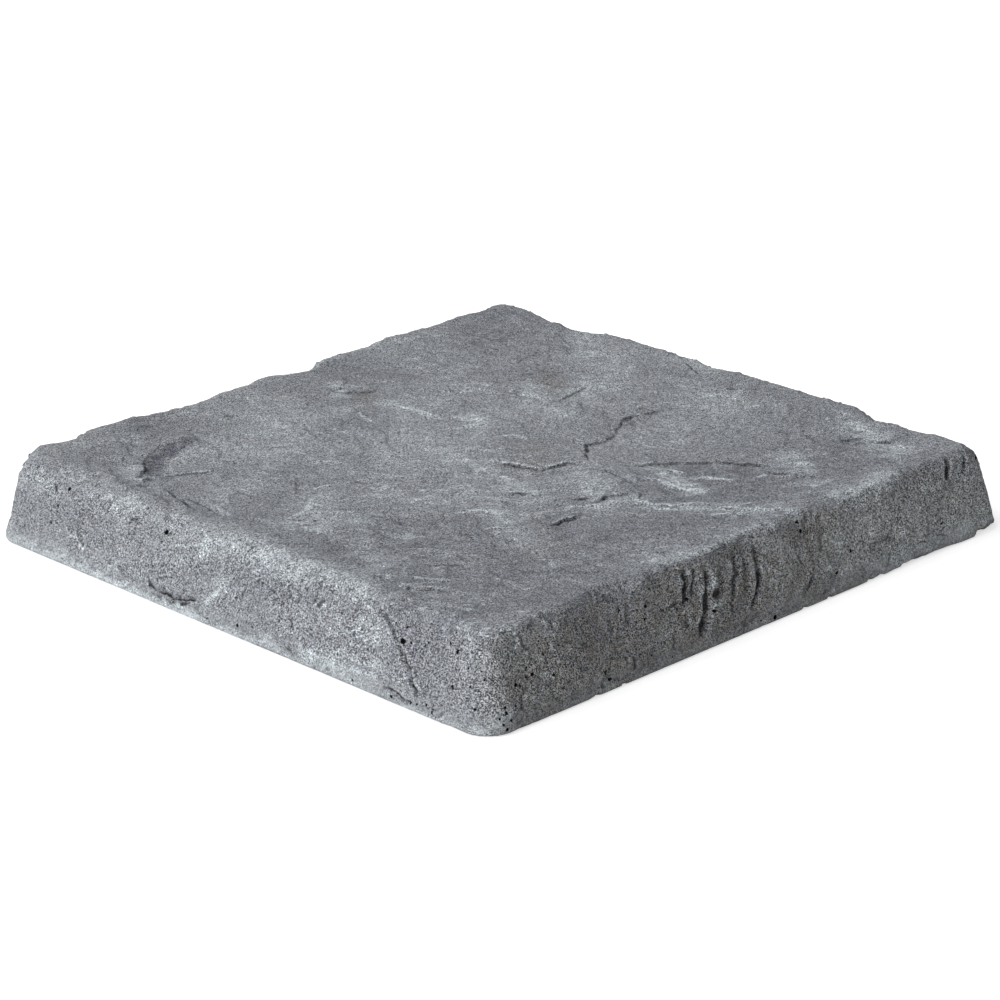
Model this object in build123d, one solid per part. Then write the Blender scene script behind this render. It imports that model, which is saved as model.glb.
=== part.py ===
"""Square concrete stepping stone, wet cast in one piece, in millimetres.

The stone lies on its flat bed at z = 0 with its tread up. Its origin is the middle of the bed, the front
side faces -Y and the right side +X. The four sides lean in and are hewn: round-nosed scallops run down
them, and the tread's edge is worn back and dips in places. The tread is cast like split slate: shallow
dishes, and clefts, where a flake has come away to one side of a ledge. One stretch of the bed's edge is
chipped.
"""

from build123d import *
from math import atan, cos, degrees, radians, sin, sqrt, tan
import os

# Overall sizes
side = 406.4
thickness = 50.8
batter = 10.0
shoulder_radius = 6.0
bed_edge_radius = 1.0

# Places on the tread and along the sides are drawn on a stone of this side, and stretch with the real one
drawn_side = 406.4
stretch = side / drawn_side

# Scallops run down the sides, deepest at the tread's edge and gone at the bed. Each is (place along the side,
# chord, depth), where a side's places run to the right as it is faced.
scallops = {
    "front": [
        (-166, 66, 2.4),
        (-112, 52, 1.8),
        (-62, 62, 2.4),
        (6, 74, 2.8),
        (70, 54, 2.0),
        (112, 46, 2.4),
        (164, 54, 1.8),
    ],
    "right": [
        (-178, 48, 2.2),
        (-112, 66, 4.0),
        (-66, 40, 1.0),
        (-6, 54, 3.2),
        (46, 60, 2.2),
        (84, 40, 2.0),
        (132, 48, 1.6),
    ],
    "back": [
        (-146, 76, 2.6),
        (-84, 56, 1.2),
        (6, 60, 1.8),
        (58, 50, 1.2),
        (124, 84, 3.2),
        (178, 50, 1.6),
    ],
    "left": [
        (-176, 50, 1.6),
        (-112, 76, 1.8),
        (-58, 52, 1.4),
        (-18, 42, 3.2),
        (28, 46, 1.8),
        (68, 76, 3.0),
        (156, 44, 2.4),
    ],
}

# Worn and broken stretches of the tread's edge. Each is (place along the side, chord, depth, lean in
# degrees): a small lean dips the edge and runs far into the tread, and a large one takes back the side.
wear = {
    "front": [
        (-190, 72, 5.0, 40),
        (-138, 112, 7.0, 34),
        (-132, 64, 5.2, 18),
        (-96, 70, 4.6, 24),
        (-66, 128, 5.2, 46),
        (-14, 60, 4.0, 52),
        (10, 86, 6.8, 36),
        (6, 52, 4.2, 18),
        (56, 98, 5.6, 44),
        (92, 60, 2.2, 20),
        (106, 82, 5.2, 38),
        (150, 104, 6.2, 42),
        (150, 62, 3.6, 18),
        (192, 58, 5.0, 50),
    ],
    "right": [
        (-186, 60, 5.0, 46),
        (-148, 80, 4.2, 40),
        (-108, 62, 6.2, 44),
        (-108, 66, 2.6, 16),
        (-46, 84, 1.6, 14),
        (2, 56, 5.2, 46),
        (4, 50, 1.4, 14),
        (56, 110, 4.4, 40),
        (104, 54, 1.2, 16),
        (134, 54, 4.0, 48),
        (168, 60, 1.4, 14),
    ],
    "back": [
        (-176, 56, 5.0, 42),
        (-146, 80, 2.0, 16),
        (-150, 56, 7.2, 42),
        (-126, 44, 7.4, 42),
        (8, 46, 4.2, 42),
        (120, 50, 7.8, 42),
        (138, 76, 6.4, 42),
        (130, 70, 1.8, 16),
    ],
    "left": [
        (-172, 44, 4.2, 42),
        (-128, 110, 4.0, 42),
        (-62, 90, 3.8, 42),
        (-18, 46, 9.0, 42),
        (-22, 36, 2.4, 16),
        (30, 46, 5.2, 42),
        (68, 86, 7.0, 42),
        (66, 80, 1.6, 16),
        (157, 38, 5.2, 42),
    ],
}

# Rounded upright corners, two of them broken at the tread's end. Each break is (turn from the front, the
# corner's radius, chord, depth, lean).
front_right_radius = 18.0
back_right_radius = 10.0
back_left_radius = 16.0
front_left_radius = 17.0
broken_corners = [(315, front_left_radius, 70, 6.0, 42), (135, back_right_radius, 48, 4.0, 42)]

# Chips in the bed's edge, listed like the wear, with a lean below the level
bed_chips = {"right": [(112, 30, 1.6, -40), (146, 54, 2.0, -34), (196, 34, 2.6, -40)]}

# Shallow dishes in the tread, as (x, y, spread, depth)
dishes = [
    (-60, -114, 88, 1.3),
    (-108, 116, 92, 1.0),
    (108, -114, 84, 1.1),
    (96, 128, 74, 1.0),
    (-16, 62, 78, 0.8),
]

# Clefts in the tread, as (ledge line, middle of the flake, spread, step): the flake lies on its middle's side
clefts = [
    ([(-138, -110), (-136, -132), (-125, -151), (-109, -163), (-101, -182)], (-104, -136), 56, 3.0),
    ([(34, 130), (24, 112), (19, 86), (35, 62), (37, 43), (47, 26), (62, 18)], (56, 76), 64, 2.2),
    ([(72, 8), (82, 32), (94, 51), (113, 63), (136, 74), (154, 84)], (102, 74), 52, 1.8),
    ([(4, -28), (23, -19), (37, -12), (48, -3), (53, 14)], (30, 0), 34, 1.7),
    ([(54, -52), (78, -42), (91, -31), (101, -16), (109, 2)], (79, -12), 46, 1.7),
    ([(-184, 6), (-160, 31), (-142, 50), (-118, 68)], (-162, 56), 44, 1.3),
    ([(-134, -3), (-126, 7), (-118, 19), (-105, 31)], (-128, 19), 26, 1.3),
    ([(98, 11), (112, 16), (126, 19), (142, 25)], (117, 25), 28, 1.1),
    ([(134, 132), (140, 143), (153, 152), (172, 168)], (142, 156), 32, 1.1),
]

# The bed's sharp edge stands this far outside the rounded one, so the stone's full side is over the rounding
face_angle = degrees(atan(thickness / batter))
bed_edge_overhang = bed_edge_radius * (1 / tan(radians(face_angle / 2)) - 1)
bed_half = side / 2 + bed_edge_overhang
tread_half = bed_half - batter
cutter_length = 4 * thickness
turns = {"front": 0, "right": 90, "back": 180, "left": 270}
corner_radii = {
    (1, -1): front_right_radius,
    (1, 1): back_right_radius,
    (-1, 1): back_left_radius,
    (-1, -1): front_left_radius,
}


def rounded_square(half):
    """A square whose corners have their own radii."""
    square = Rectangle(2 * half, 2 * half)
    for (sign_x, sign_y), radius in corner_radii.items():
        corner = square.vertices().sort_by_distance((sign_x * half, sign_y * half, 0))[0]
        square = fillet(corner, radius)
    return square


def blank():
    """The plain leaning block with its rounded corners and shoulders."""
    bed = rounded_square(bed_half)
    tread = Pos(0, 0, thickness) * rounded_square(tread_half)
    block = loft([bed, tread], ruled=True)
    block = fillet(block.edges().group_by(Axis.Z)[-1], shoulder_radius)
    return fillet(block.edges().group_by(Axis.Z)[0], bed_edge_radius)


def bite(turn, edge, chord, depth, lean):
    """A round cutter that bites an edge of the side with this turn.

    Its axis runs inwards and up at the lean, to bite the tread's edge, or down at it, to bite the bed's.
    """
    radius = chord**2 / (8 * depth) + depth / 2
    axis = Vector(0, cos(radians(lean)), sin(radians(lean)))
    upwards = -1 if lean > 0 else 1
    into_stone = Vector(0, sin(radians(abs(lean))), upwards * cos(radians(lean)))
    middle = edge + into_stone * (depth - radius)
    cutter = Plane(origin=middle, x_dir=(1, 0, 0), z_dir=axis) * Cylinder(radius, cutter_length)
    return Rot(0, 0, turn) * cutter


def hewn(block, name):
    """The block with one side's scallops, wear and bed chips."""
    for place, chord, depth in scallops[name]:
        lean = face_angle - degrees(atan(depth / thickness))
        block -= bite(turns[name], Vector(place * stretch, -tread_half, thickness), chord, depth, lean)
    for place, chord, depth, lean in wear[name]:
        block -= bite(turns[name], Vector(place * stretch, -tread_half, thickness), chord, depth, lean)
    for place, chord, depth, lean in bed_chips.get(name, []):
        block -= bite(turns[name], Vector(place * stretch, -bed_half, 0), chord, depth, lean)
    return block


def broken_corner(turn, corner_radius, chord, depth, lean):
    """A bite at one upright corner, where the corner's rounding has brought the tread's edge in."""
    reach = sqrt(2) * tread_half - (sqrt(2) - 1) * corner_radius
    return bite(turn, Vector(0, -reach, thickness), chord, depth, lean)


def dish(x, y, spread, depth):
    """A ball that cuts a shallow round hollow into the tread, its poles turned away to the sides."""
    radius = (spread**2 + depth**2) / (2 * depth)
    return Pos(x * stretch, y * stretch, thickness + radius - depth) * Rot(90, 0, 0) * Sphere(radius)


def flake(ledge, middle, spread, step):
    """A dish cut off along the ledge line, so that it has a step there and fades out on its other sides."""
    points = [Vector(x * stretch, y * stretch) for x, y in ledge]
    centre = Vector(middle[0] * stretch, middle[1] * stretch)
    start = points[0] + (points[0] - points[1]).normalized() * spread
    end = points[-1] + (points[-1] - points[-2]).normalized() * spread
    chord = (end - start).normalized()
    across = Vector(-chord.Y, chord.X)
    towards = across if across.dot(centre - start) > 0 else across * -1
    far = towards * 3 * spread
    back = Polyline(points[-1], end, end + far, start + far, start)
    line = Polyline(start, points[0]) + Spline(*points) + back
    outline = make_face(line.edges())
    prism = Pos(0, 0, thickness - 2 * step) * extrude(outline, 4 * step)
    return dish(middle[0], middle[1], spread, step) & prism


stone = blank()
for name in turns:
    stone = hewn(stone, name)
for corner in broken_corners:
    stone -= broken_corner(*corner)
for place in dishes:
    stone -= dish(*place)
for cleft in clefts:
    stone -= flake(*cleft)

os.makedirs("parts", exist_ok=True)
export_step(stone, "parts/stepping_stone.step")
print("volume", round(stone.volume), "box", stone.bounding_box())
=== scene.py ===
# %% [markdown]
# # A concrete stepping stone
#
# The real stone is wet cast: a runny mix is poured face down into a rubber mould that was taken from split slate, so
# tread and sides carry the slate's ledges and the mould's bubbles, while the bed is only screeded flat. The solid
# model has the block, its hewn sides, its worn edge and its main clefts. This lesson makes the cast skin on a copy of
# it, then the concrete that it is cast in, and last the picture.

# %% The frame
import itertools
import math

import bmesh
import bpy
import numpy as np
from mathutils import Matrix, Vector


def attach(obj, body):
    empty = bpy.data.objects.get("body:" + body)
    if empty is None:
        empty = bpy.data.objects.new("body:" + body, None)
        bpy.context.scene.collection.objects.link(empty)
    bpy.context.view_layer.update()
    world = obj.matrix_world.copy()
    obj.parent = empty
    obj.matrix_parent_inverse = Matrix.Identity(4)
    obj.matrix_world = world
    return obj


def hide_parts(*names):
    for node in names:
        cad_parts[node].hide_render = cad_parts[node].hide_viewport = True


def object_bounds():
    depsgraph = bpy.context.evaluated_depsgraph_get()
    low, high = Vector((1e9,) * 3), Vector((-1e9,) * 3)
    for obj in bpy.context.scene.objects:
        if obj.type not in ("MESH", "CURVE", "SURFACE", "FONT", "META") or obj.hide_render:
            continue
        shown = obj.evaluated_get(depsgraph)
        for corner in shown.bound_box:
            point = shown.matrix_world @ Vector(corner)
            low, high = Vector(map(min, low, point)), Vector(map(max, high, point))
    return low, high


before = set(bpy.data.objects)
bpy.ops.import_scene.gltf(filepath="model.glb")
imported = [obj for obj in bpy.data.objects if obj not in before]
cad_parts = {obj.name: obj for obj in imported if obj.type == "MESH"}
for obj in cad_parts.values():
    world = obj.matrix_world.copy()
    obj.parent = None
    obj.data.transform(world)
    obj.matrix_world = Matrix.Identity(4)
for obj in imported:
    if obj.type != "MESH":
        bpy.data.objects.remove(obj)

node_name = "stepping_stone"
cad_low, cad_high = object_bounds()
mm = 0.001
half_side = (cad_high[0] - cad_low[0]) / 2 / mm
thickness = (cad_high[2] - cad_low[2]) / mm
print("solid model, mm:", round(2 * half_side, 1), "square,", round(thickness, 1), "thick")

# %% [markdown]
# ## A skin fine enough to carve
#
# The solid's own mesh has long thin faces, which bend badly. A copy of it is welded and then wrapped again in even
# small squares, so that every mark of the mould has points to live on. Subdividing the thin faces would be the other
# way, but it keeps their bad shapes.

# %% An even copy of the solid
skin_pitch = 1.15 * mm


def evaluated(thing):
    """A plain mesh of the object with its modifiers applied."""
    graph = bpy.context.evaluated_depsgraph_get()
    return bpy.data.meshes.new_from_object(thing.evaluated_get(graph))


stone = bpy.data.objects.new("cast_stone", bpy.data.objects[node_name].data.copy())
bpy.context.scene.collection.objects.link(stone)
weld = bmesh.new()
weld.from_mesh(stone.data)
bmesh.ops.remove_doubles(weld, verts=weld.verts, dist=0.02 * mm)
weld.to_mesh(stone.data)
weld.free()
wrap = stone.modifiers.new("wrap", "REMESH")
wrap.mode = "VOXEL"
wrap.voxel_size = skin_pitch
stone.data = evaluated(stone)
stone.modifiers.clear()
print("skin:", len(stone.data.vertices), "points")

# %% [markdown]
# ## Tools for points and lines
#
# The marks of the stone are read off it as short lines of points, so the steps below need to know how far each point
# of the skin is from such a line. They work on arrays of all points at once, which is much quicker than a loop.

# %% Read and write points, ease a value, and measure from a line


def read_points(mesh):
    points = np.empty(len(mesh.vertices) * 3)
    normals = np.empty(len(mesh.vertices) * 3)
    mesh.vertices.foreach_get("co", points)
    mesh.vertex_normals.foreach_get("vector", normals)
    return points.reshape(-1, 3) / mm, normals.reshape(-1, 3)


def write_points(mesh, points):
    mesh.vertices.foreach_set("co", (points * mm).ravel())
    mesh.update()


def ease(low, high, value):
    """0 below low, 1 above high, and an easy curve between them."""
    share = np.clip((value - low) / (high - low), 0.0, 1.0)
    return share * share * (3.0 - 2.0 * share)


def along_line(flat, line):
    """Distance from a line of points, which side (left is 1 and right is -1), and how far along, from 0 to 1."""
    line = np.asarray(line, float)
    step = np.diff(line, axis=0)
    length = np.linalg.norm(step, axis=1)
    before = np.concatenate([[0.0], np.cumsum(length)])
    nearest = np.full(len(flat), np.inf)
    side = np.ones(len(flat))
    share = np.zeros(len(flat))
    for i in range(len(step)):
        away = flat - line[i]
        t = np.clip(away @ step[i] / length[i] ** 2, 0.0, 1.0)
        gap = away - t[:, None] * step[i]
        distance = np.linalg.norm(gap, axis=1)
        closer = distance < nearest
        nearest[closer] = distance[closer]
        side[closer] = np.where(step[i][0] * gap[:, 1] > step[i][1] * gap[:, 0], 1.0, -1.0)[closer]
        share[closer] = ((before[i] + t * length[i]) / before[-1])[closer]
    return nearest, side, share


def near_line(flat, line, reach):
    low = np.min(line, axis=0) - reach
    high = np.max(line, axis=0) + reach
    return np.nonzero(np.all((flat > low) & (flat < high), axis=1))[0]


# %% [markdown]
# ## Worn by handling the mould
#
# The solid's worn edges and clefts are clean cuts. On the real stone they run into what is round them, because the
# rubber is soft. Each point of the skin moves a little towards the middle of its neighbours, again and again, most
# along the front shoulder and the clefts, and not at all along the bed's edge, which the screed leaves sharp. A
# smooth modifier would do the same to the whole stone.

# %% Soften the cuts. A worn cleft is a line, how far from it the wear reaches, and how much it is worn
soft_rounds = 40
least_soft, most_soft = 0.10, 0.6
shoulder_reach = 34
worn_right_shoulder = 0.2
worn_clefts = [
    ([(-138, -110), (-130, -147), (-104, -176)], 26, 0.2),
    ([(4, -28), (30, -14), (53, 14)], 24, 1.0),
    ([(74, 12), (96, 51), (154, 84)], 24, 1.0),
    ([(54, -52), (91, -31), (109, 2)], 22, 1.0),
    ([(98, 11), (142, 25)], 14, 0.8),
    ([(134, 132), (140, 143), (172, 168)], 24, 0.8),
    ([(-134, -3), (-118, 19), (-105, 31)], 16, 0.6),
]

points, normals = read_points(stone.data)
edges = np.empty(len(stone.data.edges) * 2, int)
stone.data.edges.foreach_get("vertices", edges)
edges = edges.reshape(-1, 2)
here, there = np.concatenate([edges, edges[:, ::-1]]).T
neighbours = np.bincount(here)[:, None]
near_front = ease(shoulder_reach, 0.5 * shoulder_reach, half_side + points[:, 1])
near_right = ease(shoulder_reach, 0.5 * shoulder_reach, half_side - points[:, 0]) * ease(190, 140, points[:, 1])
worn = np.maximum(near_front, worn_right_shoulder * near_right)
for line, reach, amount in worn_clefts:
    inside = near_line(points[:, :2], line, reach)
    distance, _, _ = along_line(points[inside, :2], line)
    worn[inside] = np.maximum(worn[inside], amount * ease(reach, 0.4 * reach, distance))
softness = (least_soft + (most_soft - least_soft) * worn) * ease(2.0, 9.0, points[:, 2])
softness = softness[:, None]
for _ in range(soft_rounds):
    middle = np.stack([np.bincount(here, points[there, i]) for i in range(3)], axis=1) / neighbours
    points += softness * (middle - points)
write_points(stone.data, points)

# %% [markdown]
# ## Marks of the split slate
#
# A ledge drops to the left of its line's direction, and its floor comes back up over a distance, which is how a flake
# leaves slate. Its foot is dark, partly dirt and partly painted shade in the crease and on the low floor, and its lip
# is pale, partly lime and partly a painted highlight. A groove is cut along its line, as by a chisel, and has a burr
# on either side; the groove gets dirt and painted shade, and the burrs a painted highlight. The lines are bent by
# noise, so that no stretch of them is straight.

# %% Noise for places in arrays


def lumps(places, size, seed):
    """Smooth noise from -1 to 1, with lumps about this size."""
    cells = 32
    grid = np.random.default_rng(seed).uniform(-1.0, 1.0, (cells, cells, cells))
    place = places / size
    cell = np.floor(place).astype(int)
    share = place - cell
    share = share * share * (3.0 - 2.0 * share)
    total = np.zeros(len(places))
    for corner in itertools.product((0, 1), repeat=3):
        weight = np.prod(np.where(corner, share, 1.0 - share), axis=1)
        total += weight * grid[tuple(((cell + corner) % cells).T)]
    return total


# %% The ledges on the tread: line, drop, how far the floor runs, how dark its foot and how pale its lip is
tread_ledges = [
    ([(-140, -110), (-144, -126), (-138, -141), (-129, -149), (-121, -155), (-110, -171)], 0.4, 22, 0.7, 0.3),
    ([(-94, -128), (-103, -138), (-106, -143), (-110, -148), (-111, -154)], 0.5, 14, 0.9, 0.5),
    ([(-111, -153), (-112, -159), (-109, -166), (-102, -177)], 0.5, 12, 0.1, 1.0),
    ([(-93, -166), (-80, -170), (-70, -173), (-60, -176), (-52, -178)], 0.8, 16, 1.0, 0.3),
    ([(-77, -167), (-64, -169), (-52, -170), (-38, -173), (-22, -177)], 0.4, 12, 0.6, 0.2),
    ([(-26, -172), (-36, -169), (-45, -168), (-53, -168)], 0.4, 8, 0.1, 1.0),
    ([(11, -141), (2, -148), (-8, -154)], 0.4, 8, 0.9, 0.3),
    ([(9, -145), (4, -150), (-4, -155)], 0.3, 6, 0.1, 1.0),
    ([(14, -143), (6, -152)], 0.3, 6, 0.7, 0.2),
    ([(-6, -149), (-8, -142), (-8, -136), (-14, -127), (-20, -119)], 0.5, 12, 0.1, 1.0),
    ([(16, -121), (6, -130), (-4, -135)], 0.3, 7, 0.1, 0.9),
    ([(-32, -111), (-30, -102), (-26, -93)], 0.4, 9, 0.1, 0.9),
    ([(3, -82), (-6, -83), (-17, -84), (-21, -89)], 0.3, 8, 0.6, 0.3),
    ([(-18, -79), (-14, -80)], 0.4, 5, 0.8, 0.3),
    ([(-150, -63), (-155, -70)], 0.3, 6, 0.7, 0.2),
    ([(-133, 71), (-151, 61), (-163, 48), (-171, 43), (-180, 34), (-190, 29)], 0.4, 24, 0.4, 0.2),
    ([(-131, 20), (-141, 18), (-144, 9), (-152, 8)], 0.5, 10, 0.1, 1.0),
    ([(-126, 26), (-131, 19), (-135, 12), (-136, 6)], 0.6, 12, 1.0, 0.2),
    ([(-141, -7), (-148, -19)], 0.4, 8, 0.6, 0.2),
    ([(-58, 16), (-76, 13), (-85, 13), (-93, 12), (-100, 9), (-108, 3)], 0.5, 12, 0.1, 1.0),
    ([(-84, -18), (-97, -14), (-107, -11)], 0.4, 9, 0.1, 0.9),
    ([(-40, 32), (-51, 24), (-60, 21)], 0.4, 10, 0.1, 0.9),
    ([(-35, 27), (-38, 21), (-41, 13)], 0.4, 9, 0.1, 0.9),
    ([(-1, 27), (-9, 23), (-12, 16)], 0.4, 8, 0.3, 1.0),
    ([(8, 31), (3, 38)], 0.5, 6, 0.7, 0.3),
    ([(6, -25), (-3, -23)], 0.3, 6, 0.1, 1.0),
    ([(28, -26), (13, -30)], 0.3, 8, 0.1, 0.7),
    ([(6, -66), (13, -64), (18, -57), (15, -46), (4, -37)], 0.4, 14, 0.7, 0.2),
    ([(33, -66), (23, -72), (19, -78)], 0.3, 7, 0.1, 0.9),
    ([(58, 21), (50, 17), (45, 11), (40, -5), (23, -11), (12, -17)], 0.6, 24, 1.0, 0.7),
    ([(24, 119), (21, 107), (18, 100), (16, 91), (19, 84), (27, 70), (32, 62), (33, 55), (31, 49), (30, 44), (39, 34),
      (48, 26), (57, 19)], 0.5, 34, 0.9, 0.2),
    ([(60, 14), (75, 17), (90, 14), (103, 14)], 0.5, 14, 0.8, 0.2),
    ([(133, 92), (111, 79), (100, 72), (92, 62), (85, 57), (84, 50), (81, 45), (77, 38), (70, 28)], 0.6, 26, 1.0, 0.3),
    ([(84, 41), (88, 44), (95, 45), (110, 49)], 0.5, 12, 0.8, 0.8),
    ([(134, 39), (121, 28), (109, 27), (97, 27), (89, 21)], 0.4, 10, 0.2, 0.9),
    ([(134, 57), (131, 53), (126, 52), (120, 50), (116, 47), (115, 40)], 0.4, 8, 0.3, 1.0),
    ([(162, 93), (150, 85), (139, 81), (132, 80)], 0.5, 10, 0.8, 0.2),
    ([(155, 86), (144, 79), (138, 75), (138, 66)], 0.3, 6, 0.1, 0.9),
    ([(106, 4), (101, -2), (96, -8), (97, -13), (98, -18), (95, -20), (90, -21), (86, -29)], 0.6, 16, 1.1, 0.5),
    ([(107, 8), (111, 3), (114, -1)], 0.5, 6, 1.0, 0.5),
    ([(101, -17), (100, -23), (98, -28), (94, -32), (98, -42)], 0.3, 8, 0.3, 1.0),
    ([(134, 4), (127, -3), (120, -3), (115, -8)], 0.6, 9, 0.2, 1.1),
    ([(137, -1), (128, -6)], 0.4, 5, 0.2, 1.0),
    ([(152, 22), (142, 16), (138, 9), (133, 0)], 0.5, 10, 0.3, 1.0),
    ([(164, 36), (160, 29)], 0.3, 5, 0.2, 1.0),
    ([(185, 44), (173, 32), (161, 23), (151, 13)], 0.7, 14, 0.3, 1.1),
    ([(167, 18), (162, 11), (160, 5)], 0.7, 12, 0.3, 1.1),
    ([(173, 26), (168, 18)], 0.5, 8, 0.3, 1.0),
    ([(106, -40), (107, -46), (104, -51), (105, -57), (103, -62)], 0.5, 10, 1.0, 0.5),
    ([(64, -36), (59, -40), (56, -44)], 0.4, 8, 1.0, 0.9),
    ([(74, -66), (64, -72), (59, -81), (55, -87)], 0.3, 8, 0.1, 0.8),
    ([(76, -59), (73, -63)], 0.3, 5, 0.1, 1.0),
    ([(96, -75), (92, -79), (82, -91)], 0.3, 7, 0.1, 0.7),
    ([(129, -82), (113, -73), (101, -66)], 0.3, 10, 0.1, 0.5),
    ([(33, -110), (41, -99), (47, -91)], 0.4, 9, 0.4, 0.4),
    ([(52, -138), (64, -133), (65, -122)], 0.4, 9, 0.4, 0.4),
    ([(112, -128), (107, -136), (96, -145)], 0.4, 8, 0.9, 0.3),
    ([(109, -142), (103, -146)], 0.4, 5, 0.1, 1.0),
    ([(134, -160), (122, -165), (116, -173), (104, -174)], 0.6, 10, 0.8, 0.2),
    ([(124, -152), (116, -158), (105, -163)], 0.4, 8, 0.4, 1.0),
    ([(91, -177), (99, -176), (99, -168)], 0.8, 8, 0.9, 0.3),
    ([(162, -172), (158, -175)], 0.3, 4, 0.1, 1.2),
    ([(124, -192), (143, -182)], 0.6, 8, 0.5, 0.5),
    ([(155, 168), (150, 164), (145, 160), (142, 157), (134, 156), (133, 152), (129, 145)], 0.6, 14, 0.9, 0.3),
    ([(140, 164), (134, 166), (123, 165)], 0.3, 7, 0.1, 0.9),
    ([(172, 165), (165, 160), (157, 163)], 0.4, 8, 0.1, 0.9),
    ([(149, 106), (138, 100), (134, 87)], 0.4, 9, 0.2, 0.7),
    ([(-40, 124), (-39, 113), (-37, 102), (-34, 88), (-37, 82)], 0.5, 16, 0.9, 0.8),
    ([(-47, 79), (-54, 81), (-62, 85)], 0.4, 8, 0.1, 1.0),
    ([(-57, 75), (-62, 85)], 0.4, 6, 0.1, 0.9),
    ([(-66, 74), (-71, 84)], 0.3, 6, 0.1, 0.9),
    ([(-24, 183), (-11, 175), (-5, 173), (2, 176)], 0.5, 16, 0.9, 0.1),
    ([(32, 170), (26, 166)], 0.4, 6, 0.8, 0.2),
    ([(72, 157), (66, 144)], 0.4, 8, 0.7, 0.2),
    ([(61, 156), (55, 148)], 0.3, 6, 0.1, 0.8),
    ([(50, 182), (35, 174)], 0.3, 6, 0.6, 0.2),
    ([(-75, 109), (-83, 105)], 0.4, 8, 0.7, 0.2),
    ([(62, 108), (52, 92), (56, 78)], 0.3, 12, 0.3, 0.4),
    ([(-70, -118), (-48, -108), (-30, -122), (-10, -116)], 0.4, 18, 0.3, 0.3),
    ([(-140, -60), (-118, -48), (-92, -56), (-66, -44)], 0.35, 24, 0.2, 0.4),
    ([(-40, -70), (-62, -82), (-88, -78)], 0.35, 18, 0.2, 0.5),
]

# %% Marks of the two hewn sides that show. A place there is (along the side as it is faced, height)
front_ledges = [
    ([(-130, 24), (-129, 18), (-124, 15), (-121, 19)], 0.8, 9, 0.8, 0.9),
    ([(-140, 24), (-135, 20), (-131, 19)], 0.5, 7, 0.4, 0.6),
    ([(-79, 41), (-85, 39), (-86, 35)], 0.9, 9, 1.0, 0.3),
    ([(-73, 37), (-74, 49)], 0.6, 8, 0.6, 0.2),
    ([(-105, 38), (-104, 43), (-101, 48)], 0.5, 8, 0.7, 0.6),
    ([(-22, 33), (-20, 38), (-23, 41), (-34, 37), (-42, 34), (-51, 32), (-59, 30)], 0.6, 12, 0.3, 0.8),
    ([(-17, 12), (-11, 19), (-5, 27)], 0.6, 8, 0.4, 1.0),
    ([(64, 29), (67, 36), (69, 42), (72, 48)], 0.8, 8, 1.0, 0.6),
    ([(69, 32), (75, 38)], 0.7, 6, 0.9, 0.8),
    ([(97, 36), (99, 41), (101, 45)], 0.9, 6, 1.1, 0.3),
    ([(121, 12), (112, 13), (103, 11)], -0.6, 4, 0.3, 1.0),
    ([(-67, 14), (-65, 9), (-62, 5), (-57, 5), (-50, 7), (-45, 5), (-40, 6), (-35, 6), (-30, 9), (-26, 10), (-22, 8)],
     1.5, 9, 2.0, 0.9),
]
right_ledges = [
    ([(-94, 42), (-91, 46), (-87, 49), (-81, 51)], 1.1, 16, 0.3, 0.9),
    ([(-176, 13), (-172, 18), (-165, 21)], 0.6, 9, 0.3, 0.6),
    ([(114, 19), (97, 20), (82, 21)], 0.7, 10, 0.8, 0.2),
    ([(106, 35), (101, 40), (98, 44)], 0.7, 8, 0.7, 0.3),
    ([(60, 33), (68, 29), (76, 30)], 0.6, 7, 0.4, 1.0),
    ([(64, 26), (69, 24), (72, 27)], 0.6, 6, 0.4, 1.0),
    ([(64, 11), (70, 14), (76, 15)], 0.5, 6, 0.4, 0.9),
    ([(172, 27), (152, 30), (134, 26)], 0.6, 12, 0.6, 0.4),
    ([(122, 7), (142, 12), (160, 6)], 0.6, 10, 0.5, 0.3),
]

# %% Grooves: line, half width, depth, darkness
front_grooves = [
    ([(112, 46), (117, 43), (122, 40), (127, 37), (131, 33), (136, 29)], 1.0, 0.8, 0.9),
    ([(128, 37), (137, 27), (140, 22), (145, 17), (151, 8)], 1.3, 1.9, 1.6),
    ([(123, 6), (131, 7), (137, 6), (142, 4), (150, 5)], 0.9, 0.9, 1.0),
    ([(-154, 44), (-153, 38)], 0.9, 0.5, 0.6),
    ([(-41, 11), (-40, 4)], 0.8, 1.0, 1.1),
    ([(3, 26), (11, 34)], 0.9, 0.9, 0.7),
    ([(9, 25), (16, 33)], 0.9, 0.9, 0.7),
    ([(5, 15), (7, 23)], 0.9, 0.7, 0.6),
    ([(10, 20), (14, 28)], 0.9, 0.8, 0.7),
    ([(16, 15), (18, 24)], 0.9, 0.7, 0.6),
    ([(18, 27), (24, 37)], 0.9, 0.8, 0.7),
    ([(23, 20), (27, 30)], 0.9, 0.7, 0.6),
    ([(29, 25), (34, 34)], 0.9, 0.8, 0.7),
    ([(35, 20), (39, 31)], 0.9, 0.7, 0.6),
    ([(40, 24), (46, 33), (50, 44)], 1.0, 0.8, 0.6),
    ([(52, 26), (56, 34), (62, 42)], 1.0, 0.8, 0.6),
    ([(0, 27), (5, 35), (14, 42)], 1.0, 0.7, 0.5),
    ([(10, 34), (17, 39), (27, 42)], 1.0, 0.7, 0.4),
    ([(50, 25), (54, 15)], 0.9, 0.8, 0.8),
    ([(49, 8), (57, 3)], 0.8, 0.9, 1.0),
    ([(62, 43), (65, 52)], 1.0, 0.8, 0.6),
    ([(84, 38), (90, 46), (94, 54)], 1.1, 0.6, 0.4),
]
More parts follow.
